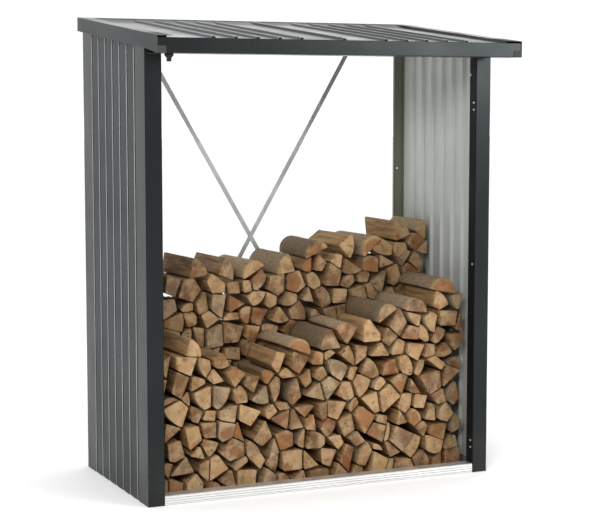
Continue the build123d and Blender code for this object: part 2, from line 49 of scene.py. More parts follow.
# Logs: spacing of the mesh over a log, how much narrower it is drawn, and how rough its faces are
MERGE_DISTANCE = 1e-6
OUTLINE_STEP = 0.0062
RING_COUNT = 10
CORNER_SMOOTH_PASSES = 1
BARK_TURN_DEG = 16.0
LEAST_BARK_POINTS = 3
WIDTH_SHARES = (0.77, 0.98)
HEIGHT_SHARES = (0.945, 1.0)
PITH_REACH = (0.01, 0.10)
SEED_SPAN = 100
SPLIT_ROUGHNESS = 0.0034
RIDGE_SHARE = 0.6
SWELL_SHARE = 0.7
BARK_ROUGHNESS = 0.0012
SAW_ROUGHNESS = 0.0007
DEEPEST_SHARE = 0.5
END_CHAMFER = 0.0012
CAP_SHARES = (0.97, 0.80, 0.52, 0.24)
SPLIT_SLOT, END_SLOT, BARK_SLOT = 0, 1, 2
LOG_SEED = 5

# Scales of a log's unevenness: across and along it, and over its sawn ends
BARK_LUMPS = (60.0, 14.0)
SPLIT_RIDGES = (85.0, 1.6)
SPLIT_SWELLS = (22.0, 2.4)
SAW_WAVES = (45.0, 120.0)

# Sheet metal: bends, cut edges, and the least that a face turns in to count as the inside
SHEET_THICKNESS = 0.001
BEND_RADIUS = 0.0018
BEND_STEPS = 4
EASED_EDGE_SHARE = 0.45
FINE_CORNER = 0.0008
STRAIGHT_DEG = 172.0
SHEET_SHARP_DEG = 50.0
RUN_TURN = 0.2
END_TURN = 0.5
INSIDE_TURN = -0.05
# Height pitch of the sill's ribs, for the painted shade line under each
SILL_RIB_SHADE_PITCH = 0.00975

# Screws, bolts and spout: profiles of radius and height, as shares of the size for the heads
WASHER_SHARES = ((1.0, -0.06), (1.0, 0.14), (0.92, 0.22))
HEAD_SHARES = ((0.72, 0.18), (0.72, 0.66), (0.60, 0.80))
PIECE_SHARP_DEG = 40.0
ROUND_SIDES = 20
HEX_SIDES = 6
POST_SCREW_SIZE = 0.005
POST_SCREWS = ((0.048, 1.74), (0.018, 1.62), (0.018, 1.59), (0.018, 0.92), (0.018, 0.14), (0.018, 0.11))
STRAP_BOLT_SIZE = 0.0075
STRAP_BOLT_INSET = 0.010
SPOUT_SIDES = 40
SPOUT_PROFILE = (
    (0.0086, 0.0),
    (0.0095, 0.001),
    (0.0095, 0.0125),
    (0.0105, 0.0142),
    (0.0170, 0.0222),
    (0.0180, 0.0240),
    (0.0180, 0.0305),
    (0.0176, 0.0310),
    (0.0152, 0.0310),
    (0.0146, 0.0290),
    (0.0070, 0.0190),
    (0.0070, 0.0010),
    (0.0074, 0.0),
)

# Turned-up pan ends under the rear trim
PAN_TOLERANCE = 0.0004
PAN_TUCK = 0.006
PAN_REACH = 0.090
PAN_STEPS = 8
PAN_SPREAD = 0.004
LEAST_PAN = 0.03
PAN_SIDES = ((0, 2), (2, 3), (3, 1), (1, 0))

# Stage: the floor, how bright the surroundings are, between which heights and headings, and the two lights
FLOOR_HALF = 60.0
FLOOR_DROP = 0.001
BACKDROP_HEADING = (0.4155, 0.9096, 0.0)
DIM_LIGHT = 0.30
BACKDROP_LIGHT = 0.78
BACKDROP_SPREAD = (0.0, 0.8)
BACKDROP_HEIGHTS = (0.36, 0.16)
CEILING_LIGHT = 1.12
CEILING_HEIGHTS = (0.45, 0.75)
STRIP_LIGHT = 1.4
STRIP_SPREAD = (0.3, 0.8)
STRIP_FOOT_HEIGHTS = (0.06, 0.10)
STRIP_TOP_HEIGHTS = (0.44, 0.24)
GROUND_HEIGHTS = (-0.005, -0.03)
KEY_LIGHT = {"place": (-3.9, -5.6, 3.5), "target": (0, 0, 0.9), "size": 1.8, "power": 235.0}
FILL_LIGHT = {"place": (4.4, -6.6, 3.0), "target": (0, 0, 1.2), "size": 2.6, "power": 280.0}


# Node helpers


class Graph:
    """The node tree of a material or a world, with one short call to a node."""

    def __init__(self, name, owner=None, output="OutputMaterial"):
        self.owner = owner or bpy.data.materials.new(name)
        self.owner.use_nodes = True
        self.tree = self.owner.node_tree
        self.tree.nodes.clear()
        self.output = self.tree.nodes.new("ShaderNode" + output)

    def node(self, kind, settings=None, **inputs):
        """Add a node, set its properties, and set or link its inputs by name."""
        made = self.tree.nodes.new("ShaderNode" + kind)
        for key, value in (settings or {}).items():
            setattr(made, key, value)
        for key, value in inputs.items():
            self.feed(made.inputs[key.replace("_", " ")], value)
        return made

    def feed(self, socket, value):
        """Link a socket, or set its value."""
        if isinstance(value, bpy.types.NodeSocket):
            self.tree.links.new(value, socket)
        else:
            socket.default_value = value

    def math(self, operation, *values, clamp=False):
        """A Math node's result."""
        made = self.tree.nodes.new("ShaderNodeMath")
        made.operation = operation
        made.use_clamp = clamp
        for socket, value in zip(made.inputs, values):
            self.feed(socket, value)
        return made.outputs[0]

    def vector(self, operation, *values):
        """A Vector Math node's result."""
        made = self.tree.nodes.new("ShaderNodeVectorMath")
        made.operation = operation
        for socket, value in zip(made.inputs, values):
            self.feed(socket, value)
        return made.outputs["Value" if operation in ("LENGTH", "DOT_PRODUCT") else "Vector"]

    def mix(self, factor, low, high):
        """A colour mixed from two."""
        made = self.tree.nodes.new("ShaderNodeMix")
        made.data_type = "RGBA"
        made.clamp_factor = True
        self.feed(made.inputs["Factor"], factor)
        self.feed(made.inputs["A"], low)
        self.feed(made.inputs["B"], high)
        return made.outputs["Result"]

    def noise(self, where, scale, detail=3.0, roughness=0.55):
        """A noise texture's value."""
        made = self.node("TexNoise", Vector=where, Scale=scale, Detail=detail, Roughness=roughness)
        return made.outputs["Fac"]

    def ramp(self, value, low, high, to_low=0.0, to_high=1.0):
        """A value stretched from one range to another, and clamped to it."""
        made = self.node("MapRange", {"clamp": True}, Value=value)
        for key, number in zip(("From Min", "From Max", "To Min", "To Max"), (low, high, to_low, to_high)):
            made.inputs[key].default_value = number
        return made.outputs["Result"]

    def bump(self, height, strength, distance, under=None):
        """A bumped normal, over another if there is one."""
        made = self.node("Bump", Height=height, Strength=strength, Distance=distance)
        if under is not None:
            self.feed(made.inputs["Normal"], under)
        return made.outputs["Normal"]

    def place(self):
        """The surface's place in the object's frame."""
        return self.node("TexCoord").outputs["Object"]

    def axes(self, where):
        """A vector's numbers, by the name of their axis."""
        return self.node("SeparateXYZ", Vector=where).outputs

    def joined(self, **numbers):
        """A vector from numbers, by the name of their axis."""
        return self.node("CombineXYZ", None, **numbers).outputs["Vector"]

    def finish(self, **inputs):
        """Close the tree with a principled shader."""
        shader = self.node("BsdfPrincipled", None, **inputs)
        self.tree.links.new(shader.outputs["BSDF"], self.output.inputs["Surface"])
        return self.owner


def rgb(red, green, blue):
    """A colour with full alpha, from linear values."""
    return (red, green, blue, 1.0)


def darker(colour, share):
    """A share of a colour, with full alpha."""
    return rgb(*(part * share for part in colour[:3]))


# Materials of the sheet metal, plastic and straps: scales of their texture, and colours in linear values

RUN_MARKS = (26.0, 26.0, 0.8)
SHEET_WAVES = (5.0, 5.0, 1.6)
PEEL_SCALE = 900.0
COAT_CLOUD_SCALE = 3.2
CLOUD_DARKENING = 0.86
COAT_SHEEN = rgb(0.88, 0.98, 1.0)
DRAWN_STRETCH = 0.02
METAL_CLOUD_SCALE = 9.0
SPOT_SCALE = 120.0
PATCH_DARKENING = 0.9
# Painted shade under the sill's ribs: where in each pitch the dark line falls, and its colour
RIB_SHADE_PLACE = 0.80
RIB_SHADE_LINE = rgb(0.25, 0.25, 0.245)
DULL_SPOT = rgb(0.30, 0.29, 0.27)
MOULD_GRAIN_SCALE = 1400.0
SPECK_SCALE = 700.0


def coated_steel(name, colour, dusty, gloss, dust_height, shine, wave=0.05):
    """Factory-coated sheet: faint orange peel, slow waves in the sheet, dust low down and thin run marks."""
    g = Graph(name)
    place = g.place()
    runs = g.noise(g.vector("MULTIPLY", place, RUN_MARKS), 1.0, 4.0)
    cloud = g.noise(place, COAT_CLOUD_SCALE, 4.0)
    low = g.math("MULTIPLY", g.ramp(g.axes(place)["Z"], dust_height, 0.0), g.ramp(cloud, 0.3, 0.7))
    streak = g.math("MULTIPLY", g.ramp(runs, 0.45, 0.85), 0.05)
    dirt = g.math("ADD", g.math("MULTIPLY", low, 0.55), streak, clamp=True)
    tint = g.mix(g.ramp(cloud, 0.35, 0.65), colour, darker(colour, CLOUD_DARKENING))
    peel = g.bump(g.noise(place, PEEL_SCALE, 1.0), 0.02, 0.0004)
    waves = g.noise(g.vector("MULTIPLY", place, SHEET_WAVES), 1.0, 1.0)
    rough = g.ramp(g.math("ADD", cloud, g.math("MULTIPLY", dirt, 0.6)), 0.3, 1.1, gloss, gloss + 0.24)
    return g.finish(Base_Color=g.mix(dirt, tint, dusty), Roughness=rough,
                    Normal=g.bump(waves, wave, 0.004, peel),
                    Specular_IOR_Level=shine, Specular_Tint=COAT_SHEEN)


def bare_metal(name, colour, gloss, grain_scale, grain_axis, blemish, rib_shade_pitch=None):
    """Mill-finish metal: fine drawn lines along one axis, dull patches, and at even heights a painted shade
    line under each rib.
    """
    g = Graph(name)
    place = g.place()
    stretch = tuple(DRAWN_STRETCH if axis == grain_axis else 1.0 for axis in range(3))
    lines = g.noise(g.vector("MULTIPLY", place, stretch), grain_scale, 3.0)
    cloud = g.noise(place, METAL_CLOUD_SCALE, 4.0)
    spots = g.noise(place, SPOT_SCALE, 3.0)
    tint = g.mix(g.ramp(cloud, 0.3, 0.7), colour, darker(colour, PATCH_DARKENING))
    # Painted shade: a dark line at even heights, under each rib
    if rib_shade_pitch:
        step = g.math("FRACT", g.math("DIVIDE", g.axes(place)["Z"], rib_shade_pitch))
        off_line = g.math("ABSOLUTE", g.math("SUBTRACT", step, RIB_SHADE_PLACE))
        tint = g.mix(g.ramp(off_line, 0.14, 0.06, 0.0, 0.75), tint, RIB_SHADE_LINE)
    tint = g.mix(g.ramp(spots, 0.62, 0.75, 0.0, blemish), tint, DULL_SPOT)
    rough = g.ramp(g.math("ADD", lines, cloud), 0.6, 1.4, gloss, gloss + 0.25)
    return g.finish(Base_Color=tint, Roughness=rough, Metallic=0.9, Normal=g.bump(lines, 0.05, 0.0006))


def moulded_plastic(name, colour, speckle):
    """Moulded plastic with a fine spark-eroded grain and pale specks."""
    g = Graph(name)
    place = g.place()
    grain = g.noise(place, MOULD_GRAIN_SCALE, 2.0)
    specks = g.ramp(g.noise(place, SPECK_SCALE, 1.0), 0.60, 0.72)
    tint = g.mix(g.math("MULTIPLY", specks, 0.6), colour, speckle)
    return g.finish(Base_Color=tint, Roughness=0.55, Specular_IOR_Level=0.2,
                    Normal=g.bump(grain, 0.2, 0.0006))


# Materials of the firewood: which logs are grey or red, scales of the grain, and colours in linear values

GREY_LOGS = (0.74, 0.84)
RED_LOGS = (0.88, 0.96)
OWN_SHIFT = (31.0, 17.0, 23.0)
RING_WARP = 0.016
RING_RATE = 1250.0
BAND_RATE = 210.0
PORE_SCALE = 520.0
SAW_MARKS = (40.0, 40.0, 330.0)
STREAK_STRETCH = (1.0, 0.07, 1.0)
FIBRE_STRETCH = (1.0, 0.03, 1.0)
CRACK_STRETCH = (1.0, 0.35, 1.0)
DARK_WOOD = rgb(0.118, 0.055, 0.019)
PALE_WOOD = rgb(0.43, 0.262, 0.12)
GREY_WOOD = rgb(0.21, 0.155, 0.095)
RED_WOOD = rgb(0.165, 0.052, 0.016)
SAPWOOD = rgb(0.55, 0.385, 0.215)
HEARTWOOD = rgb(0.235, 0.077, 0.016)
BAND_BROWN = rgb(0.095, 0.042, 0.014)
RING_BROWN = rgb(0.11, 0.052, 0.02)
PORE_BROWN = rgb(0.085, 0.042, 0.017)
END_STAIN = rgb(0.125, 0.082, 0.045)
CHECK_BLACK = rgb(0.018, 0.009, 0.004)
SPLIT_DARK = rgb(0.10, 0.05, 0.018)
SPLIT_PALE = rgb(0.48, 0.31, 0.155)
SPLIT_STAIN = rgb(0.155, 0.112, 0.068)
FIBRE_BROWN = rgb(0.10, 0.053, 0.021)
BARK_DARK = rgb(0.15, 0.10, 0.058)
BARK_PALE = rgb(0.38, 0.275, 0.165)
BARK_PATCH = rgb(0.16, 0.135, 0.085)
LICHEN = rgb(0.30, 0.27, 0.20)
BARK_CRACK = rgb(0.05, 0.031, 0.018)


def log_tone(g):
    """The numbers that all points of a log share, together and one by one."""
    tone = g.node("Attribute", {"attribute_name": "tone"}).outputs["Vector"]
    return tone, g.axes(tone)


def wood_colour(g, part):
    """A log's own colour from its numbers: dark to pale, and now and then grey or red."""
    warm = g.mix(part["X"], DARK_WOOD, PALE_WOOD)
    grey = g.mix(g.ramp(part["Y"], *GREY_LOGS), warm, GREY_WOOD)
    return g.mix(g.ramp(part["Y"], *RED_LOGS), grey, RED_WOOD)


def log_place(g, tone):
    """A place on the log, counted from its pith, and the same shifted by the log's own numbers."""
    grain = g.node("Attribute", {"attribute_name": "grain"}).outputs["Vector"]
    return grain, g.vector("ADD", grain, g.vector("MULTIPLY", tone, OWN_SHIFT))


def drying_checks(g, axes, radius, own, part):
    """Where a sawn end has cracked from its pith outward."""
    angle = g.math("ARCTAN2", axes["Z"], axes["X"])
    spoke = g.joined(X=g.math("MULTIPLY", angle, 5.0), Y=g.math("MULTIPLY", radius, 4.0),
                     Z=g.math("MULTIPLY", part["X"], 57.0))
    off_line = g.math("ABSOLUTE", g.math("SUBTRACT", g.noise(spoke, 1.0, 2.0), 0.5))
    cracked = g.ramp(g.noise(own, 30.0, 2.0), 0.46, 0.58)
    return g.math("MULTIPLY", g.ramp(off_line, 0.012, 0.002), cracked)


def end_colour(g, base, radius, own, part):
    """End grain without its pores: pale blotches, the heart, broad bands and fine rings."""
    blotch = g.noise(own, 16.0, 4.0, 0.6)
    heart_edge = g.math("MULTIPLY_ADD", part["Z"], 0.09, -0.018)
    heart = g.ramp(g.math("SUBTRACT", heart_edge, radius), -0.002, 0.010)
    band_place = g.joined(X=g.math("MULTIPLY", radius, BAND_RATE), Y=g.math("MULTIPLY", part["Y"], 43.0))
    bands = g.ramp(g.noise(band_place, 1.0, 2.0), 0.46, 0.66, 0.0, 0.50)
    rings = g.math("MULTIPLY_ADD", g.math("SINE", g.math("MULTIPLY", radius, RING_RATE)), 0.5, 0.5)
    tint = g.mix(g.ramp(blotch, 0.40, 0.60, 0.0, 0.95), base, g.mix(0.58, base, SAPWOOD))
    tint = g.mix(g.math("MULTIPLY", heart, 0.66), tint, HEARTWOOD)
    tint = g.mix(bands, tint, g.mix(0.5, tint, BAND_BROWN))
    return g.mix(g.math("MULTIPLY", rings, 0.28), tint, g.mix(0.6, tint, RING_BROWN))


def sawn_end():
    """End grain: rings about the pith, heart, pores, stains, saw marks and drying checks."""
    g = Graph("sawn_end")
    tone, part = log_tone(g)
    grain, own = log_place(g, tone)
    axes = g.axes(grain)
    from_pith = g.vector("LENGTH", g.joined(X=axes["X"], Y=axes["Z"]))
    radius = g.math("ADD", from_pith, g.math("MULTIPLY", g.noise(own, 22.0, 3.0), RING_WARP))
    pores = g.noise(own, PORE_SCALE, 2.0)
    check = drying_checks(g, axes, radius, own, part)
    tint = end_colour(g, wood_colour(g, part), radius, own, part)
    tint = g.mix(g.ramp(pores, 0.48, 0.70, 0.0, 0.45), tint, PORE_BROWN)
    tint = g.mix(g.ramp(g.noise(own, 30.0, 4.0), 0.52, 0.70, 0.0, 0.55), tint, END_STAIN)
    tint = g.mix(check, tint, CHECK_BLACK)
    saw = g.bump(g.noise(g.vector("MULTIPLY", own, SAW_MARKS), 1.0, 2.0), 0.3, 0.0010)
    relief = g.math("SUBTRACT", pores, g.math("MULTIPLY", check, 3.0))
    return g.finish(Base_Color=tint, Roughness=0.78, Specular_IOR_Level=0.25,
                    Normal=g.bump(relief, 0.5, 0.0012, saw))


def split_face():
    """A split face: long torn fibres along the log, pale and dark streaks."""
    g = Graph("split_face")
    tone, part = log_tone(g)
    base = wood_colour(g, part)
    own = log_place(g, tone)[1]
    streak = g.noise(g.vector("MULTIPLY", own, STREAK_STRETCH), 75.0, 5.0, 0.6)
    fibre = g.noise(g.vector("MULTIPLY", own, FIBRE_STRETCH), 420.0, 3.0)
    cloud = g.noise(own, 11.0, 3.0)
    tint = g.mix(g.ramp(streak, 0.36, 0.62), g.mix(0.5, base, SPLIT_DARK), g.mix(0.5, base, SPLIT_PALE))
    tint = g.mix(g.ramp(cloud, 0.54, 0.74, 0.0, 0.55), tint, SPLIT_STAIN)
    tint = g.mix(g.ramp(fibre, 0.50, 0.74, 0.0, 0.5), tint, FIBRE_BROWN)
    normal = g.bump(fibre, 0.55, 0.0016, g.bump(streak, 0.6, 0.004))
    return g.finish(Base_Color=tint, Roughness=0.80, Specular_IOR_Level=0.2, Normal=normal)


def bark():
    """Thin grey-brown bark with paler lichen and shallow cracks along the log."""
    g = Graph("bark")
    tone, part = log_tone(g)
    own = log_place(g, tone)[1]
    crack = g.noise(g.vector("MULTIPLY", own, CRACK_STRETCH), 95.0, 5.0, 0.62)
    patch = g.noise(own, 24.0, 4.0)
    lichen = g.ramp(g.noise(own, 48.0, 3.0), 0.56, 0.66)
    body = g.mix(part["X"], BARK_DARK, BARK_PALE)
    tint = g.mix(g.ramp(patch, 0.35, 0.70), body, g.mix(0.4, body, BARK_PATCH))
    tint = g.mix(g.math("MULTIPLY", lichen, 0.16), tint, LICHEN)
    tint = g.mix(g.ramp(crack, 0.47, 0.30, 0.0, 0.55), tint, BARK_CRACK)
    return g.finish(Base_Color=tint, Roughness=0.86, Specular_IOR_Level=0.2, Normal=g.bump(crack, 0.5, 0.003))


# Firewood: each log of a CAD course is drawn again with rough faces


def separate_logs(node):
    """The logs of a CAD course: each one's near outline, far offset and ends."""
    bm = bmesh.new()
    bm.from_mesh(node.data)
    bmesh.ops.remove_doubles(bm, verts=bm.verts, dist=MERGE_DISTANCE)
    unseen = dict.fromkeys(bm.verts)
    logs = []
    while unseen:
        reached = [unseen.popitem()[0]]
        for vert in reached:
            for edge in vert.link_edges:
                other = edge.other_vert(vert)
                if other in unseen:
                    del unseen[other]
                    reached.append(other)
        near = min(vert.co.y for vert in reached)
        far = max(vert.co.y for vert in reached)
        middle = (near + far) / 2
        front = [Vector((vert.co.x, vert.co.z)) for vert in reached if vert.co.y < middle]
        back = [Vector((vert.co.x, vert.co.z)) for vert in reached if vert.co.y > middle]
        centre = sum(front, Vector((0, 0))) / len(front)
        offset = sum(back, Vector((0, 0))) / len(back) - centre
        front.sort(key=lambda point: math.atan2(point.y - centre.y, point.x - centre.x))
        logs.append((near, far, front, offset))
    bm.free()
    logs.sort(key=lambda log: tuple(log[2][0]))
    return logs


def outline_runs(outline):
    """The sides between an outline's sharp corners, each with whether it is the rounded, barked one."""
    count = len(outline)
    sharp = []
    for index, point in enumerate(outline):
        before = point - outline[index - 1]
        after = outline[(index + 1) % count] - point
        if abs(before.angle_signed(after, 0.0)) > math.radians(BARK_TURN_DEG):
            sharp.append(index)
    for start, end in zip(sharp, sharp[1:] + [sharp[0] + count]):
        run = [outline[index % count] for index in range(start, end + 1)]
        yield run, len(run) - 2 >= LEAST_BARK_POINTS


def circle_centre(a, b, c):
    """The centre of the circle through three points."""
    squares = a.length_squared, b.length_squared, c.length_squared
    spread = 2 * (a.x * (b.y - c.y) + b.x * (c.y - a.y) + c.x * (a.y - b.y))
    x = (squares[0] * (b.y - c.y) + squares[1] * (c.y - a.y) + squares[2] * (a.y - b.y)) / spread
    y = (squares[0] * (c.x - b.x) + squares[1] * (a.x - c.x) + squares[2] * (b.x - a.x)) / spread
    return Vector((x, y))


def fine_outline(outline):
    """The outline in short steps with eased corners, which steps are bark, and the pith if bark tells it."""
    points, barked, pith = [], [], None
    for run, has_bark in outline_runs(outline):
        if has_bark:
            pith = circle_centre(run[0], run[len(run) // 2], run[-1])
        for start, end in zip(run, run[1:]):
            steps = max(1, round((end - start).length / OUTLINE_STEP))
            for step in range(steps):
                points.append(start.lerp(end, step / steps))
                barked.append(has_bark)
    for _ in range(CORNER_SMOOTH_PASSES):
        points = [
            (points[index - 1] + 2 * point + points[(index + 1) % len(points)]) / 4
            for index, point in enumerate(points)
        ]
    return points, barked, pith


class RoughLog:
    """One log drawn again: rough rings along it and a sawn cap at each end."""

    def __init__(self, data, log, dice):
        self.data = data
        self.near, self.far, outline, self.offset = log
        points, self.barked, self.pith = fine_outline(outline)
        centre = sum(points, Vector((0, 0))) / len(points)
        foot = Vector((centre.x, min(point.y for point in points)))
        shrink = Vector((dice.uniform(*WIDTH_SHARES), dice.uniform(*HEIGHT_SHARES)))
        self.points = [foot + (point - foot) * shrink for point in points]
        self.centre = foot + (centre - foot) * shrink
        if self.pith is None:
            heading = dice.uniform(0, 2 * math.pi)
            reach = dice.uniform(*PITH_REACH)
            self.pith = self.centre + Vector((math.cos(heading), math.sin(heading))) * reach
        self.tone = Vector((dice.random(), dice.random(), dice.random()))
        self.seed = dice.uniform(0, SEED_SPAN)

    def steps(self):
        """Each point's number in a ring, and the next one's."""
        count = len(self.points)
        return [(index, (index + 1) % count) for index in range(count)]

    def add_face(self, corners, kind):
        """Add a face of one of the log's three materials."""
        self.data["faces"].append(corners)
        self.data["kinds"].append(kind)

    def lump(self, point, share, scales):
        """Unevenness at a point of a ring, from scales across and along the log."""
        across, along = scales
        return noise.noise(Vector((point.x * across, point.y * across, share * along + self.seed)))

    def depth(self, point, share, barked):
        """How far the rough surface lies inside the outline."""
        if barked:
            return BARK_ROUGHNESS * (1 + self.lump(point, share, BARK_LUMPS))
        ridge = self.lump(point, share, SPLIT_RIDGES)
        swell = self.lump(point, share, SPLIT_SWELLS)
        return SPLIT_ROUGHNESS * (1 + RIDGE_SHARE * ridge + SWELL_SHARE * swell)

    def ring(self, share, draw_in, y):
        """Add a rough ring at a share of the log's length, and return its first point's number."""
        verts = self.data["verts"]
        start = len(verts)
        for point, barked in zip(self.points, self.barked):
            inward = self.centre - point
            depth = draw_in + self.depth(point, share, barked)
            place = point + inward * min(depth / inward.length, DEEPEST_SHARE) + self.offset * share
            verts.append((place.x, y, place.y))
        return start

    def sides(self, rings):
        """Add the barked and split faces between the rings."""
        for low, high in zip(rings, rings[1:]):
            for (index, after), barked in zip(self.steps(), self.barked):
                quad = (low + index, high + index, high + after, low + after)
                self.add_face(quad, BARK_SLOT if barked else SPLIT_SLOT)

    def cap(self, y, inwards, share, rim):
        """Add an end: rings drawn towards its middle, with the saw's unevenness."""
        verts = self.data["verts"]
        loops = [rim]
        for cap_share in CAP_SHARES:
            loops.append(len(verts))
            for point in self.points:
                place = self.centre + (point - self.centre) * cap_share + self.offset * share
                wave = Vector((place.x * SAW_WAVES[0], place.y * SAW_WAVES[1], self.seed))
                uneven = noise.noise(wave) * SAW_ROUGHNESS
                verts.append((place.x, y + inwards * (SAW_ROUGHNESS + uneven), place.y))
        hub = len(verts)
        middle = self.centre + self.offset * share
        verts.append((middle.x, y + inwards * SAW_ROUGHNESS, middle.y))
        for outer, inner in zip(loops, loops[1:]):
            for index, after in self.steps():
                quad = (outer + index, outer + after, inner + after, inner + index)
                self.add_face(quad[::inwards], END_SLOT)
        for index, after in self.steps():
            spoke = (loops[-1] + index, loops[-1] + after, hub)
            self.add_face(spoke[::inwards], END_SLOT)

    def build(self):
        """Add the log to its course's mesh."""
        first = len(self.data["verts"])
        between = self.far - self.near - 2 * END_CHAMFER
        rings = [self.ring(0.0, END_CHAMFER * 2, self.near)]
        for ring in range(RING_COUNT):
            share = ring / (RING_COUNT - 1)
            rings.append(self.ring(share, 0.0, self.near + END_CHAMFER + between * share))
        rings.append(self.ring(1.0, END_CHAMFER * 2, self.far))
        self.sides(rings)
        self.cap(self.near, 1, 0.0, rings[0])
        self.cap(self.far, -1, 1.0, rings[-1])
        for x, y, z in self.data["verts"][first:]:
            self.data["grain"].append((x - self.pith.x, y, z - self.pith.y))
            self.data["tone"].append(self.tone)


def dress_logs(node_name, materials, dice):
    """A rough copy of one CAD course of logs, which stands for it."""
    data = {"verts": [], "faces": [], "kinds": [], "grain": [], "tone": []}
    for log in separate_logs(nodes[node_name]):
        RoughLog(data, log, dice).build()
    mesh = bpy.data.meshes.new("rough_" + node_name)
    mesh.from_pydata(data["verts"], [], data["faces"])
    for material in materials:
        mesh.materials.append(material)
    mesh.polygons.foreach_set("material_index", data["kinds"])
    for name in ("grain", "tone"):
        attribute = mesh.attributes.new(name, "FLOAT_VECTOR", "POINT")
        attribute.data.foreach_set("vector", [number for vector in data[name] for number in vector])
    mesh.polygons.foreach_set("use_smooth", [kind != END_SLOT for kind in data["kinds"]])
    mesh.update()
    piece = bpy.data.objects.new("rough_" + node_name, mesh)
    bpy.context.collection.objects.link(piece)
    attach(piece, "root")
    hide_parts(node_name)


# Sheet metal: each folded CAD sheet is drawn again with rounded bends


def run_of(bm):
    """The direction that a folded sheet runs in, square to its two largest faces that aren't parallel."""
    faces = sorted(bm.faces, key=lambda face: -face.calc_area())
    first = faces[0].normal
    second = next(face.normal for face in faces if face.normal.cross(first).length > RUN_TURN)
    return first.cross(second).normalized()


def end_loop(ends):
    """The outline of one end of a sheet, in order."""
    following = {}
    for face in ends:
        for loop in face.loops:
            if loop.link_loop_radial_next.face not in ends:
                following[loop.vert] = loop.link_loop_next.vert
    first = min(following, key=lambda vert: vert.index)
    outline = [first]
    while following[outline[-1]] is not first:
        outline.append(following[outline[-1]])
    return [vert.co.copy() for vert in outline]


def eased_section(outline):
    """A section with rounded bends and eased cut edges, and which of its steps are the outside of a bend."""
    area = sum(a.x * b.y - b.x * a.y for a, b in zip(outline, outline[1:] + outline[:1]))
    eased, folded = [], []
    for index, corner in enumerate(outline):
        back = outline[index - 1] - corner
        on = outline[(index + 1) % len(outline)] - corner
        angle = back.angle(on)
        if angle > math.radians(STRAIGHT_DEG):
            eased.append(corner)
            folded.append(False)
            continue
        outer = (back.x * on.y - back.y * on.x) * area < 0
        radius = BEND_RADIUS + (SHEET_THICKNESS if outer else 0.0)
        reach = min(radius / math.tan(angle / 2), EASED_EDGE_SHARE * min(back.length, on.length))
        start, end = corner + back.normalized() * reach, corner + on.normalized() * reach
        steps = BEND_STEPS if reach > FINE_CORNER else 1
        for step in range(steps + 1):
            share = step / steps
            eased.append(start.lerp(corner, share).lerp(corner.lerp(end, share), share))
            folded.append(outer and steps > 1 and step < steps)
    return eased, folded


def sheet_form(node_name):
    """A folded sheet's direction, the place and normal of each end's plane, and its near end's outline."""
    bm = bmesh.new()
    bm.from_mesh(nodes[node_name].data)
    bmesh.ops.remove_doubles(bm, verts=bm.verts, dist=MERGE_DISTANCE)
    bm.normal_update()
    bm.verts.index_update()
    run = run_of(bm)
    near = [face for face in bm.faces if face.normal.dot(run) < -END_TURN]
    far = [face for face in bm.faces if face.normal.dot(run) > END_TURN]
    planes = []
    for ends in (near, far):
        widest = max(ends, key=lambda face: face.calc_area())
        planes.append((widest.calc_center_median(), widest.normal.copy()))
    outline = end_loop(near)
    bm.free()
    return run, planes, outline


def dress_sheet(node_name, outside, inside=None, outward=None, bend_highlight=None):
    """A copy of a folded sheet with rounded bends, which stands for it; a third material, if given, paints a
    highlight on the outside of its bends.
    """
    run, planes, outline = sheet_form(node_name)
    across = run.orthogonal().normalized()
    up = run.cross(across)
    section, folded = eased_section([Vector((point.dot(across), point.dot(up))) for point in outline])
    verts = []
    for place, normal in planes:
        for point in section:
            spot = across * point.x + up * point.y
            verts.append(spot + run * ((place - spot).dot(normal) / run.dot(normal)))
    count = len(section)
    faces = [(i, count + i, count + (i + 1) % count, (i + 1) % count) for i in range(count)]
    faces += [tuple(range(count)), tuple(range(2 * count - 1, count - 1, -1))]
    mesh = bpy.data.meshes.new("sheet_" + node_name)
    mesh.from_pydata(verts, [], faces)
    mesh.update()
    for material in (outside, inside or outside, bend_highlight or outside):
        mesh.materials.append(material)
    for face in mesh.polygons:
        face.use_smooth = True
        if outward is not None and face.normal.dot(Vector(outward)) < INSIDE_TURN:
            face.material_index = 1
        # The outer bends take the third material, a painted highlight
        elif face.index < count and folded[face.index]:
            face.material_index = 2
    mesh.set_sharp_from_angle(angle=math.radians(SHEET_SHARP_DEG))
    piece = bpy.data.objects.new("sheet_" + node_name, mesh)
    bpy.context.collection.objects.link(piece)
    flats = piece.modifiers.new("flats", "WEIGHTED_NORMAL")
    flats.keep_sharp = True
    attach(piece, "root")
    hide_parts(node_name)


# Screws, bolts, the spout and the turned-up ends of the roof's pans


def box_of(node_name):
    """The lowest and highest corner of a CAD node."""
    spots = [vert.co for vert in nodes[node_name].data.vertices]
    low = Vector([min(spot[axis] for spot in spots) for axis in range(3)])
    high = Vector([max(spot[axis] for spot in spots) for axis in range(3)])
    return low, high


def add_piece(name, verts, faces, material):
    """A piece of the scene from a closed mesh, smooth but for its sharp edges."""
    mesh = bpy.data.meshes.new(name)
    mesh.from_pydata(verts, [], faces)
    mesh.materials.append(material)
    mesh.polygons.foreach_set("use_smooth", [True] * len(faces))
    mesh.set_sharp_from_angle(angle=math.radians(PIECE_SHARP_DEG))
    mesh.update()
    piece = bpy.data.objects.new(name, mesh)
    bpy.context.collection.objects.link(piece)
    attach(piece, "root")
    return piece


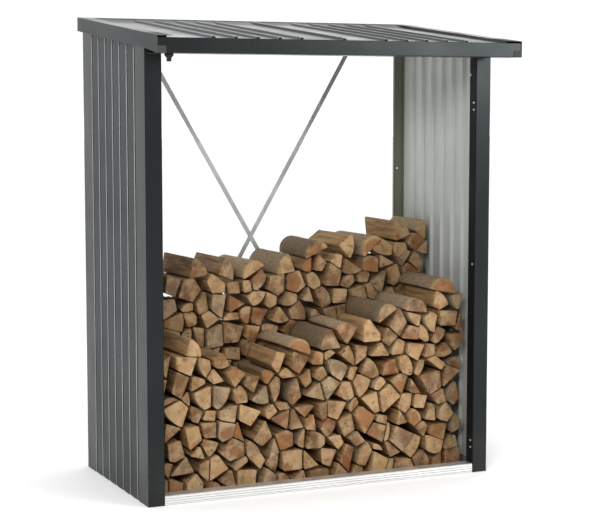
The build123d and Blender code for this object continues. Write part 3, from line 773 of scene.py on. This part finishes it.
def turned(verts, faces, place, direction, profile, sides, hollow=False):
    """Add a solid turned from a profile of radius and height, bored where the profile goes back down."""
    axis = Vector(direction).normalized()
    across = axis.orthogonal().normalized()
    up = axis.cross(across)
    rings = []
    for radius, height in profile:
        rings.append(range(len(verts), len(verts) + sides))
        for side in range(sides):
            angle = 2 * math.pi * side / sides
            ring = across * math.cos(angle) + up * math.sin(angle)
            verts.append(Vector(place) + ring * radius + axis * height)
    pairs = list(zip(rings, rings[1:]))
    if hollow:
        pairs.append((rings[-1], rings[0]))
    else:
        faces.append(tuple(reversed(rings[0])))
        faces.append(tuple(rings[-1]))
    for low, high in pairs:
        for side in range(sides):
            after = (side + 1) % sides
            faces.append((low[side], low[after], high[after], high[side]))


def hex_heads(name, places, size, material):
    """Hexagon heads on round washers, at places with a direction each."""
    verts, faces = [], []
    washer = [(share * size, height * size) for share, height in WASHER_SHARES]
    head = [(share * size, height * size) for share, height in HEAD_SHARES]
    for place, direction in places:
        turned(verts, faces, place, direction, washer, ROUND_SIDES)
        turned(verts, faces, place, direction, head, HEX_SIDES)
    add_piece(name, verts, faces, material)


def post_screws(material):
    """The screws in the inner flange of each front post."""
    places = []
    for side, hand in (("left", -1), ("right", 1)):
        low, high = box_of("front_post_" + side)
        flange = high.x if hand < 0 else low.x
        for setback, height in POST_SCREWS:
            places.append(((flange, low.y + setback, height), (-hand, 0, 0)))
    hex_heads("post_screws", places, POST_SCREW_SIZE, material)


def strap_bolts(material):
    """The bolts at the ends of the crossed straps."""
    places = []
    for lean, hand, facing in (("rising", 1, -1), ("falling", -1, 1)):
        low, high = box_of("brace_strap_" + lean)
        y = low.y if facing < 0 else high.y
        for end, height in ((-hand, low.z + STRAP_BOLT_INSET), (hand, high.z - STRAP_BOLT_INSET)):
            x = low.x + STRAP_BOLT_INSET if end < 0 else high.x - STRAP_BOLT_INSET
            places.append(((x, y, height), (0, facing, 0)))
    hex_heads("strap_bolts", places, STRAP_BOLT_SIZE, material)


def funnel_spout(material):
    """The gutter's hose spout: a collar, a funnel and a bored tube."""
    low, high = box_of("gutter_spout")
    tip = ((low.x + high.x) / 2, (low.y + high.y) / 2, low.z)
    verts, faces = [], []
    turned(verts, faces, tip, (0, 0, 1), SPOUT_PROFILE, SPOUT_SIDES, hollow=True)
    piece = add_piece("funnel_spout", verts, faces, material)
    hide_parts("gutter_spout")


def roof_pans(side):
    """A roof sheet's direction up the slope and the one off it, its flats' height and its ribs' feet."""
    bm = bmesh.new()
    bm.from_mesh(nodes["roof_sheet_" + side].data)
    bm.normal_update()
    run = run_of(bm)
    run = run if run.y > 0 else -run
    up = Vector((1, 0, 0)).cross(run)
    spots = [vert.co.copy() for vert in bm.verts]
    bm.free()
    last = max(spot.dot(run) for spot in spots)
    flat = min(spot.dot(up) for spot in spots) + SHEET_THICKNESS
    feet = {
        round(spot.x, 5) for spot in spots
        if spot.dot(run) > last - PAN_TOLERANCE and abs(spot.dot(up) - flat) < PAN_TOLERANCE
    }
    outer = max((spot.x for spot in spots), key=abs)
    return run, up, flat, sorted(feet | {outer - math.copysign(2 * SHEET_THICKNESS, outer)})


def turn_up(verts, faces, sections):
    """Add a closed piece through sections of four corners each."""
    start = len(verts)
    for corners in sections:
        verts.extend(corners)
    final = len(verts) - 4
    for low in range(start, final, 4):
        for near, far in PAN_SIDES:
            faces.append((low + near, low + far, low + 4 + far, low + 4 + near))
    faces.append((start, start + 1, start + 3, start + 2))
    faces.append((final, final + 2, final + 3, final + 1))


def pan_ends(material):
    """The flat pans between the roof's ribs, turned up under the rear trim."""
    verts, faces = [], []
    trim = [vert.co for vert in nodes["rear_trim"].data.vertices]
    trim_front = box_of("rear_trim")[0].y
    for side in ("left", "right"):
        run, up, flat, feet = roof_pans(side)
        lip = min(spot.dot(up) for spot in trim if spot.y < trim_front + PAN_TOLERANCE)
        top = (trim_front - up.y * flat) / run.y + PAN_TUCK
        for left, right in zip(feet, feet[1:]):
            if right - left < LEAST_PAN:
                continue
            sections = []
            for step in range(PAN_STEPS + 1):
                share = step / PAN_STEPS
                place = run * (top - PAN_REACH * (1 - share))
                raised = flat + (lip - flat) * share
                levels = ((flat - SHEET_THICKNESS / 2, 0.0), (raised, PAN_SPREAD * share))
                sections.append([
                    Vector((x, 0, 0)) + place + up * height
                    for height, widen in levels
                    for x in (left - widen, right + widen)
                ])
            turn_up(verts, faces, sections)
    add_piece("pan_ends", verts, faces, material)


# The finishes


def give(node_name, *materials):
    """Give a CAD node its materials."""
    node = nodes[node_name]
    node.data.materials.clear()
    for material in materials:
        node.data.materials.append(material)
    return node


def two_sided(node_name, outside, inside, outward):
    """Give a sheet one finish on the faces that look outward and another on the rest."""
    node = give(node_name, outside, inside)
    outward = Vector(outward)
    for face in node.data.polygons:
        face.material_index = 0 if face.normal.dot(outward) > INSIDE_TURN else 1


# Anthracite paint, its colour darkened far below the paint's own as painted shade on the posts, gutter,
# headers and rails
anthracite_painted_shade = coated_steel(
    "anthracite_painted_shade", rgb(0.0085, 0.0098, 0.0103), rgb(0.045, 0.042, 0.036),
    gloss=0.20, dust_height=0.30, shine=0.18)
roof_coat = coated_steel(
    "roof_coat", rgb(0.050, 0.0555, 0.0550), rgb(0.07, 0.066, 0.058),
    gloss=0.27, dust_height=0.30, shine=0.45, wave=0.01)
wall_coat = coated_steel(
    "wall_coat", rgb(0.026, 0.031, 0.0325), rgb(0.06, 0.057, 0.051),
    gloss=0.24, dust_height=0.30, shine=0.060)
# Pale coat for the outer bends of the side panels' grooves: a painted highlight that stands for light caught
# on the bends
bend_highlight_coat = coated_steel(
    "bend_highlight_coat", rgb(0.36, 0.38, 0.38), rgb(0.12, 0.12, 0.10),
    gloss=0.24, dust_height=0.30, shine=0.50)
# Near-black coat on the front posts' inner faces: painted shade, darker than the posts' own paint
flange_painted_shade = coated_steel(
    "flange_painted_shade", rgb(0.006, 0.007, 0.0075), rgb(0.02, 0.02, 0.018),
    gloss=0.55, dust_height=0.30, shine=0.10)
light_coat = coated_steel(
    "light_coat", rgb(0.475, 0.495, 0.47), rgb(0.30, 0.285, 0.24),
    gloss=0.28, dust_height=0.6, shine=0.50, wave=0.008)
# The rear posts' light inner coat, darkened and tinted olive: painted shade and a painted reflection of the
# wood
olive_painted_shade_reflection = coated_steel(
    "olive_painted_shade_reflection", rgb(0.17, 0.185, 0.135), rgb(0.12, 0.12, 0.09),
    gloss=0.40, dust_height=0.6, shine=0.30)
aluminium = bare_metal(
    "mill_aluminium", rgb(0.74, 0.74, 0.73),
    gloss=0.34, grain_scale=900.0, grain_axis=0, blemish=0.12)
sill_metal = bare_metal(
    "sill_aluminium", rgb(0.78, 0.78, 0.77),
    gloss=0.34, grain_scale=900.0, grain_axis=0, blemish=0.10, rib_shade_pitch=SILL_RIB_SHADE_PITCH)
zinc = bare_metal(
    "dull_zinc", rgb(0.34, 0.355, 0.345),
    gloss=0.45, grain_scale=120.0, grain_axis=2, blemish=0.08)
screw_zinc = bare_metal(
    "bright_zinc", rgb(0.70, 0.70, 0.68),
    gloss=0.28, grain_scale=700.0, grain_axis=1, blemish=0.05)
cap_plastic = moulded_plastic("grained_plastic", rgb(0.028, 0.031, 0.032), rgb(0.12, 0.13, 0.13))
spout_plastic = moulded_plastic("black_plastic", rgb(0.008, 0.008, 0.009), rgb(0.03, 0.03, 0.03))
firewood = (split_face(), sawn_end(), bark())

for side, hand in (("left", -1), ("right", 1)):
    dress_sheet("side_panel_" + side, wall_coat, light_coat, (hand, 0, 0), bend_highlight_coat)
    dress_sheet("roof_sheet_" + side, roof_coat, light_coat, (0, 0, 1))
    dress_sheet("front_post_" + side, anthracite_painted_shade, flange_painted_shade, (hand, 0, 0))
    dress_sheet("verge_trim_" + side, wall_coat)
    dress_sheet("roof_side_rail_" + side, anthracite_painted_shade)
    two_sided("rear_post_" + side, anthracite_painted_shade, olive_painted_shade_reflection, (hand, 1, 0))
    give("base_rail_" + side, aluminium)
    give("gutter_cap_" + side, cap_plastic)
dress_sheet("gutter", anthracite_painted_shade)
dress_sheet("front_header", anthracite_painted_shade)
dress_sheet("rear_header", anthracite_painted_shade)
dress_sheet("front_sill", sill_metal)
dress_sheet("rear_sill", aluminium)
give("rear_trim", roof_coat)
funnel_spout(spout_plastic)
post_screws(screw_zinc)
strap_bolts(screw_zinc)
pan_ends(roof_coat)
for lean in ("rising", "falling"):
    give("brace_strap_" + lean, zinc)

dice = random.Random(LOG_SEED)
for name in sorted(nodes):
    if "_logs_" in name:
        dress_logs(name, firewood, dice)


# Stage: pale floor, soft light, camera


def pale_floor():
    """A plain pale floor with a faint unevenness."""
    g = Graph("pale_floor")
    cloud = g.noise(g.place(), 0.7, 3.0)
    tint = g.mix(g.ramp(cloud, 0.3, 0.7), rgb(0.955, 0.955, 0.955), rgb(0.97, 0.97, 0.97))
    material = g.finish(Base_Color=tint, Roughness=0.9)
    mesh = bpy.data.meshes.new("floor")
    half = FLOOR_HALF
    corners = [(-half, -half, 0), (half, -half, 0), (half, half, 0), (-half, half, 0)]
    mesh.from_pydata(corners, [], [(0, 1, 2, 3)])
    mesh.materials.append(material)
    floor = bpy.data.objects.new("floor", mesh)
    floor.location.z = -FLOOR_DROP
    bpy.context.collection.objects.link(floor)


def soft_box(name, place, target, size, power):
    """A square soft light that looks at a point."""
    light = bpy.data.lights.new(name, "AREA")
    light.size = size
    light.energy = power
    lamp = bpy.data.objects.new(name, light)
    lamp.location = place
    lamp.rotation_euler = (Vector(target) - Vector(place)).to_track_quat("-Z", "Y").to_euler()
    bpy.context.collection.objects.link(lamp)


def studio():
    """A white backdrop and ceiling, dim behind the camera, with a soft light from the left and the right."""
    world = bpy.data.worlds.new("studio")
    bpy.context.scene.world = world
    g = Graph("studio", world, "OutputWorld")
    heading = g.node("TexCoord").outputs["Generated"]
    forward = g.vector("DOT_PRODUCT", heading, BACKDROP_HEADING)
    height = g.axes(heading)["Z"]
    backdrop = g.math("MULTIPLY", g.ramp(forward, *BACKDROP_SPREAD),
                      g.ramp(height, *BACKDROP_HEIGHTS, 0.0, BACKDROP_LIGHT))
    ceiling = g.ramp(height, *CEILING_HEIGHTS, 0.0, CEILING_LIGHT)
    band = g.math("MULTIPLY", g.ramp(height, *STRIP_FOOT_HEIGHTS), g.ramp(height, *STRIP_TOP_HEIGHTS))
    strip = g.math("MULTIPLY", g.math("MULTIPLY", band, g.ramp(forward, *STRIP_SPREAD)), STRIP_LIGHT)
    below = g.ramp(height, *GROUND_HEIGHTS)
    around = g.math("ADD", g.math("ADD", backdrop, ceiling), g.math("ADD", below, DIM_LIGHT))
    background = g.node("Background", Strength=g.math("ADD", around, strip), Color=rgb(1.0, 1.0, 1.0))
    g.tree.links.new(background.outputs["Background"], g.output.inputs["Surface"])
    soft_box("key", **KEY_LIGHT)
    soft_box("fill", **FILL_LIGHT)
    bpy.context.scene.view_settings.view_transform = "Standard"


def camera():
    """The photograph's camera."""
    data = bpy.data.cameras.new("camera")
    data.sensor_width = SENSOR_WIDTH_MM
    data.lens = SENSOR_WIDTH_MM * CAMERA_FOCAL_PX / IMAGE_WIDTH_PX
    eye = bpy.data.objects.new("camera", data)
    eye.location = CAMERA_PLACE
    eye.rotation_euler = (math.radians(90 - CAMERA_PITCH_DOWN_DEG), 0, math.radians(CAMERA_YAW_DEG))
    bpy.context.collection.objects.link(eye)
    bpy.context.scene.camera = eye


pale_floor()
studio()
camera()
